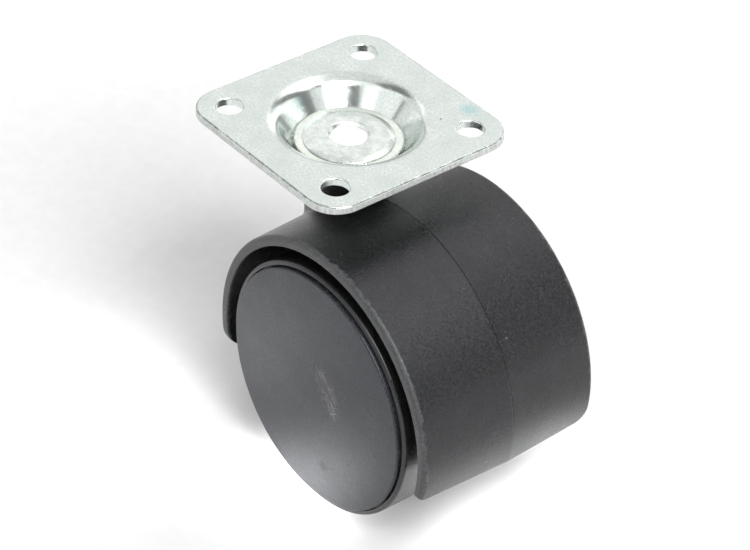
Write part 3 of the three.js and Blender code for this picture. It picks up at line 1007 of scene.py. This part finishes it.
def shell():
    """The hood's drafted shell as one closed, structured mesh."""
    bm = bmesh.new()
    columns = hood_columns()
    rows = [0.0, 0.001] + [k / 180 for k in range(1, 180)] + [0.999, 1.0]
    last_column, last_row = len(columns) - 1, len(rows) - 1

    def vertex(j, k, inset, drop, from_inner):
        """Column j, row k of the outer or inner face, moved in and into the wall."""
        y = columns[j] * (HOOD_HALF - inset) / HOOD_HALF
        if from_inner:
            radius = shell_radius(y) - HOOD_WALL + drop
        else:
            radius = shell_radius(y) - drop - parting_groove(y, rows[k])
        low = math.asin((end_height(True, y, inset) - HOOD_Z) / radius)
        high = math.pi - math.asin((end_height(False, y, inset) - HOOD_Z) / radius)
        angle = low + (high - low) * rows[k]
        x, z = HOOD_X + radius * math.cos(angle), HOOD_Z + radius * math.sin(angle)
        return bm.verts.new((x, y, z))

    def patch(from_inner):
        """The whole outer or inner face."""
        inset = INNER_EDGE if from_inner else OUTER_EDGE
        grid = [
            [vertex(j, k, inset, 0, from_inner) for k in range(last_row + 1)]
            for j in range(last_column + 1)
        ]
        for j in range(last_column):
            for k in range(last_row):
                bm.faces.new((grid[j][k], grid[j + 1][k], grid[j + 1][k + 1], grid[j][k + 1]))
        return grid

    border = [(j, 0) for j in range(last_column + 1)]
    border += [(last_column, k) for k in range(1, last_row + 1)]
    border += [(j, last_row) for j in range(last_column - 1, -1, -1)]
    border += [(0, k) for k in range(last_row - 1, 0, -1)]
    outer, inner = patch(False), patch(True)
    strip = []
    for n in range(1, 9):
        a = math.pi / 2 * n / 8
        strip.append((OUTER_EDGE * (1 - math.sin(a)), OUTER_EDGE * (1 - math.cos(a)), False))
    strip.append((0, OUTER_EDGE + 0.1, False))
    strip.append((0, INNER_EDGE + 0.1, True))
    for n in range(5, 0, -1):
        a = math.pi / 2 * n / 5
        strip.append((INNER_EDGE * (1 - math.sin(a)), INNER_EDGE * (1 - math.cos(a)), True))
    rings = [[outer[j][k] for j, k in border]]
    for step in strip:
        rings.append([vertex(j, k, *step) for j, k in border])
    rings.append([inner[j][k] for j, k in border])
    join_all(bm, rings)
    return temporary(bm)


def web():
    """The middle wall of the hood, with softened edges."""
    bm = bmesh.new()
    reach = HOOD_RIM_R - 0.8
    rear, front = REAR_END + 0.4, FRONT_END + 0.4
    low = math.asin((rear - HOOD_Z) / reach)
    high = math.pi - math.asin((front - HOOD_Z) / reach)
    outline = []
    for k in range(121):
        a = low + (high - low) * k / 120
        outline.append((HOOD_X + reach * math.cos(a), HOOD_Z + reach * math.sin(a)))

    def on_well(z):
        return math.sqrt(WELL_R ** 2 - (z - AXLE_Z) ** 2)

    for start, end, side in ((front, WEB_END, -1), (WEB_END, rear, 1)):
        for k in range(5):
            z = start + (end - start) * k / 4
            outline.append((AXLE_X + side * on_well(z), z))
    full = WEB_HALF - WEB_EDGE
    rings = []
    for y, inset in ((-WEB_HALF, WEB_EDGE), (-full, 0), (full, 0), (WEB_HALF, WEB_EDGE)):
        ring = []
        for k, (x, z) in enumerate(outline):
            bx, bz = outline[k - 1]
            ax, az = outline[(k + 1) % len(outline)]
            along = Vector((ax - bx, az - bz)).normalized()
            ring.append(bm.verts.new((x - along.y * inset, y, z + along.x * inset)))
        rings.append(ring)
    join_all(bm, rings)
    close_ends(bm, rings)
    return temporary(bm)


def neck(segments=144, arc_steps=9):
    """The stem's column, flared into the shell by a rolling-ball fillet."""
    bm = bmesh.new()
    # The fillet meets a surface this far inside the shell, so that no sliver is left over.
    sink = 0.06
    corners = [(0, NECK_TOP), (NECK_R, NECK_TOP, 0.35), (NECK_R, NECK_TOP - 2)]
    angles = [TAU * k / segments for k in range(segments)]
    rings = []
    for radius, height in rounded(corners, closed=False, steps=4)[1:-1]:
        rings.append([bm.verts.new(upright(radius, height, a)) for a in angles])
    bm.faces.new(rings[0])
    arcs = [[] for _ in range(arc_steps + 2)]
    wall_ring, foot_ring = [], []
    for a in angles:
        out = Vector((math.cos(a), math.sin(a), 0))
        ball = out * (NECK_R + NECK_FILLET)
        reach = shell_radius(ball.y) - sink + NECK_FILLET
        ball.z = HOOD_Z + math.sqrt(reach ** 2 - (ball.x - HOOD_X) ** 2)
        to_shell = Vector((HOOD_X - ball.x, 0, HOOD_Z - ball.z)).normalized()
        sweep = (-out).angle(to_shell)
        for n in range(arc_steps + 1):
            t = n / arc_steps
            spoke = -out * math.sin((1 - t) * sweep) + to_shell * math.sin(t * sweep)
            arcs[n].append(bm.verts.new(ball + spoke / math.sin(sweep) * NECK_FILLET))
        arcs[arc_steps + 1].append(bm.verts.new(ball + to_shell * (NECK_FILLET + 0.9)))
        edge = out * (NECK_R - 0.3)
        middle = shell_radius(edge.y) - HOOD_WALL / 2
        wall_z = HOOD_Z + math.sqrt(middle ** 2 - (edge.x - HOOD_X) ** 2)
        wall_ring.append(bm.verts.new((edge.x, edge.y, wall_z)))
        foot_ring.append(bm.verts.new((edge.x, edge.y, min(wall_z - 0.2, NECK_FOOT))))
    join_all(bm, rings + arcs + [wall_ring, foot_ring])
    bm.faces.new(foot_ring)
    return temporary(bm)


def hood():
    """The hood: shell, middle wall and neck in one, with its wells and bores cut."""
    body = shell()
    combine(body, web(), "UNION")
    combine(body, neck(), "UNION")
    for side in (-1, 1):
        combine(body, bar(WELL_R, WELL_Y, HOOD_HALF - 1, on_axle(side), 192), "DIFFERENCE")
    combine(body, bar(BOSS_R, -BOSS_HALF, BOSS_HALF, on_axle(1)), "UNION")
    combine(body, bar(AXLE_R + 0.1, -8, 8, on_axle(1), 64), "DIFFERENCE")
    for radius, low in NECK_BORE:
        combine(body, bar(radius, low, 0, upright, 96, 0.05), "DIFFERENCE")
    bm = take_mesh(body)
    return finish_mesh("hood_moulding", bm, "hood_nylon", "swivel_hood", "hood", sharp=28)


# ---- the wheels


def rib(side, turn):
    """A scratch rib from hub to tread, with softened edges."""
    bm = bmesh.new()
    low, high = WHEEL_INNER + 1.2, CAP_SEAT_Y - 2.8
    section = rounded(ring_corners((HUB_R - 0.5, TREAD_IN + 0.5, low, high), 0.25), steps=3)
    middle_r, middle_h = (HUB_R + TREAD_IN) / 2, (low + high) / 2
    half, full = RIB_T / 2, RIB_T / 2 - RIB_EDGE
    rings = []
    for across, inset in ((-half, RIB_EDGE), (-full, 0), (full, 0), (half, RIB_EDGE)):
        ring = []
        for radius, height in section:
            r = middle_r + (radius - middle_r) * (1 - inset / 10)
            h = middle_h + (height - middle_h) * (1 - inset / 6)
            x = r * math.cos(turn) - across * math.sin(turn)
            z = r * math.sin(turn) + across * math.cos(turn)
            ring.append(bm.verts.new((AXLE_X + side * x, side * h, AXLE_Z + z)))
        rings.append(ring)
    join_all(bm, rings)
    close_ends(bm, rings)
    return temporary(bm)


def wheel(side_name, side):
    """Tread, web and hub in one moulding, with six ribs on both sides of the web."""
    corners = [
        (HUB_BORE, WHEEL_INNER, 0.15),
        (HUB_R, WHEEL_INNER, 0.25),
        (HUB_R, WEB_IN, 0.4),
        (TREAD_IN, WEB_IN, 0.6),
        (TREAD_IN, WHEEL_INNER, 0.3),
        (WHEEL_R, WHEEL_INNER, 0.8),
        (WHEEL_R, LIP_Y, 0.6),
        (CAP_SEAT_R, LIP_Y, 0.12),
        (CAP_SEAT_R, CAP_SEAT_Y, 0.08),
        (TREAD_IN, CAP_SEAT_Y, 0.1),
        (TREAD_IN, WEB_OUT, 0.4),
        (HUB_R, WEB_OUT, 0.4),
        (HUB_R, HUB_END, 0.2),
        (HUB_BORE, HUB_END, 0.15),
    ]
    bm = bmesh.new()
    lathe(bm, rounded(corners), 208, on_axle(side))
    body = temporary(bm)
    for index in range(RIBS):
        combine(body, rib(side, TAU * index / RIBS), "UNION")
    node = f"{side_name}_wheel"
    bm = take_mesh(body)
    return finish_mesh(f"{node}_moulding", bm, "wheel_nylon", f"{node}_set", node, sharp=28)


def cap(side_name, side):
    """The outer disc, hardly domed, with its snap skirt."""
    skirt_in, skirt_end = CAP_SKIRT_R - CAP_SKIRT_WALL, CAP_UNDER - CAP_SKIRT_DEPTH
    corners = [
        (0, CAP_UNDER),
        (skirt_in, CAP_UNDER, 0.2),
        (skirt_in, skirt_end, 0.2),
        (CAP_SKIRT_R, skirt_end, 0.2),
        (CAP_SKIRT_R, CAP_UNDER, 0.1),
        (CAP_R, CAP_UNDER, 0.15),
        (CAP_R, CAP_Y - CAP_CROWN, 0.3),
    ]
    for k in range(15, -1, -1):
        share = k / 16
        corners.append((CAP_R * share, CAP_Y - CAP_CROWN * share * share))
    return turned_piece(
        f"{side_name}_cap_disc", corners, on_axle(side), 208, closed=False, slot="cap_nylon",
        body=f"{side_name}_wheel_set", node=f"{side_name}_wheel_cap",
    )


def hub_parts(side_name, side):
    """The bush in a wheel's hub, and the washer and clip on either side of it."""
    place = on_axle(side)
    inner, outer, near_end, far_end = BUSH
    corners = [
        (inner, near_end, 0.12),
        (outer, near_end, 0.12),
        (outer, BUSH_FLANGE_Y, 0.1),
        (BUSH_FLANGE_R, BUSH_FLANGE_Y, 0.1),
        (BUSH_FLANGE_R, far_end, 0.12),
        (inner, far_end, 0.12),
    ]
    turned_piece(
        f"{side_name}_bush", corners, place, 96, slot="bush_acetal",
        body=f"{side_name}_wheel_set", node=f"{side_name}_hub_bush",
    )
    ring_piece(
        f"{side_name}_spacer", SPACER, 0.1, place=place, slot="inner_steel",
        body="swivel_hood", node=f"{side_name}_spacer_washer",
    )

    def gap_outwards(radius, height, angle):
        """Turns the left clip half round, so that its gap faces -X."""
        return place(side * radius, height, angle)

    split_ring(
        f"{side_name}_clip", CLIP, CLIP_GAP, gap_outwards, slot="spring_steel",
        body="swivel_hood", node=f"{side_name}_axle_clip",
    )


def axle():
    """The axle, with a groove for a clip near each end."""
    start, end = CLIP_GROOVE
    right = [
        (AXLE_R, start, 0.05),
        (CLIP_GROOVE_R, start, 0.05),
        (CLIP_GROOVE_R, end, 0.05),
        (AXLE_R, end, 0.05),
    ]
    left = [(radius, -height, edge) for radius, height, edge in reversed(right)]
    corners = [(0, -AXLE_HALF), (AXLE_R, -AXLE_HALF, 0.5)] + left + right
    corners += [(AXLE_R, AXLE_HALF, 0.5), (0, AXLE_HALF)]
    return turned_piece(
        "axle_pin", corners, on_axle(1), 96, closed=False,
        slot="inner_steel", body="swivel_hood", node="axle",
    )


# ---- making the pieces

top_plate()
kingpin()
ring_piece(
    "head_ring", HEAD_RING, 0.14, place=upright, segments=160,
    slot="pin_steel", body="plate_set", node="head_washer",
)
ring_piece(
    "thrust_ring", THRUST_RING, 0.15, place=upright,
    slot="inner_steel", body="plate_set", node="thrust_washer",
)
ring_piece(
    "sleeve_tube", SLEEVE, 0.12, place=upright,
    slot="inner_steel", body="swivel_hood", node="stem_sleeve",
)
split_ring(
    "stem_ring", SNAP_RING, SNAP_RING_GAP, upright,
    slot="spring_steel", body="plate_set", node="stem_snap_ring",
)
hood()
axle()
for side_name, side in (("left", -1), ("right", 1)):
    wheel(side_name, side)
    cap(side_name, side)
    hub_parts(side_name, side)

# ---- floor, light and camera


def direction(azimuth, elevation):
    """Unit vector towards a place seen at that azimuth and elevation."""
    flat = math.cos(elevation)
    return Vector((math.sin(azimuth) * flat, -math.cos(azimuth) * flat, math.sin(elevation)))


def studio_piece(name, bm, material):
    """A studio object from a bmesh given in metres."""
    thing = make_object(name, bm)
    thing.data.materials.append(material)
    return thing


def studio_floor(steps=24, half=4000.0):
    """A large level sheet of paper under the wheels."""
    bm = bmesh.new()
    bmesh.ops.create_grid(bm, x_segments=steps, y_segments=steps, size=half)
    bmesh.ops.translate(bm, vec=(0, 0, FLOOR_Z), verts=bm.verts)
    bmesh.ops.scale(bm, vec=(MM, MM, MM), verts=bm.verts)
    studio_piece("studio_floor", bm, PAPER)


def soft_box(name, azimuth, elevation, size, watts):
    """A rectangular soft box aimed at the caster; cameras don't see it."""
    lamp = bpy.data.lights.new(name, "AREA")
    lamp.shape = "RECTANGLE"
    lamp.size, lamp.size_y = size[0] * MM, size[1] * MM
    lamp.energy = watts
    light = bpy.data.objects.new(name, lamp)
    towards = direction(math.radians(azimuth), math.radians(elevation))
    light.location = (AIM + towards * SOFT_BOX_DISTANCE) * MM
    light.rotation_mode = "QUATERNION"
    light.rotation_quaternion = towards.to_track_quat("Z", "Y")
    light.visible_camera = False
    bpy.context.scene.collection.objects.link(light)


def studio_world():
    """Soft surroundings, brighter towards the horizon than overhead."""
    world = bpy.data.worlds.new("studio")
    bpy.context.scene.world = world
    world.use_nodes = True
    tree = world.node_tree
    back = tree.nodes["Background"]
    where = tree.nodes.new("ShaderNodeTexCoord")
    split = tree.nodes.new("ShaderNodeSeparateXYZ")
    tree.links.new(where.outputs["Generated"], split.inputs[0])
    ramp = tree.nodes.new("ShaderNodeValToRGB")
    tree.links.new(split.outputs["Z"], ramp.inputs[0])
    stops = ramp.color_ramp.elements
    stops[0].position, stops[0].color = 0.0, grey(0.75)
    stops[1].position, stops[1].color = 1.0, grey(0.12)
    middle = stops.new(0.3)
    middle.color = grey(0.15)
    tree.links.new(ramp.outputs[0], back.inputs["Color"])
    back.inputs["Strength"].default_value = 1.0


def studio_camera():
    """The camera, turned by ROLL about its own line of sight."""
    lens = bpy.data.cameras.new("camera")
    lens.lens = LENS
    lens.sensor_width = SENSOR
    lens.clip_start, lens.clip_end = 0.01, 50
    camera = bpy.data.objects.new("camera", lens)
    back = direction(AZIMUTH, ELEVATION)
    right = Vector((math.cos(AZIMUTH), math.sin(AZIMUTH), 0))
    up = back.cross(right)
    c, s = math.cos(ROLL), math.sin(ROLL)
    right, up = right * c + up * s, up * c - right * s
    place = (AIM + back * CAMERA_DISTANCE) * MM
    camera.matrix_world = Matrix(
        [[right[k], up[k], back[k], place[k]] for k in range(3)] + [[0, 0, 0, 1]]
    )
    bpy.context.scene.collection.objects.link(camera)
    bpy.context.scene.camera = camera


def camera_card(steps=24):
    """A dark arch behind the camera; it shows in reflections and shades the soft boxes."""
    outline = [(-CARD_HALF, CARD_LOW), (CARD_HALF, CARD_LOW)]
    for k in range(steps + 1):
        turn = math.pi * k / steps
        outline.append((CARD_HALF * math.cos(turn), CARD_STRAIGHT + CARD_HALF * math.sin(turn)))
    towards = direction(AZIMUTH, CARD_ELEVATION)
    centre = AIM + towards * CARD_DISTANCE
    across = Vector((math.cos(AZIMUTH), math.sin(AZIMUTH), 0))
    up = towards.cross(across)
    bm = bmesh.new()
    bm.faces.new([bm.verts.new((centre + across * u + up * v) * MM) for u, v in outline])
    card = studio_piece("camera_card", bm, CARD)
    for ray in ("camera", "diffuse", "transmission", "volume_scatter"):
        setattr(card, f"visible_{ray}", False)


studio_floor()
studio_world()
for box in SOFT_BOXES:
    soft_box(*box)
studio_camera()
camera_card()

bpy.context.scene.view_settings.view_transform = "Standard"
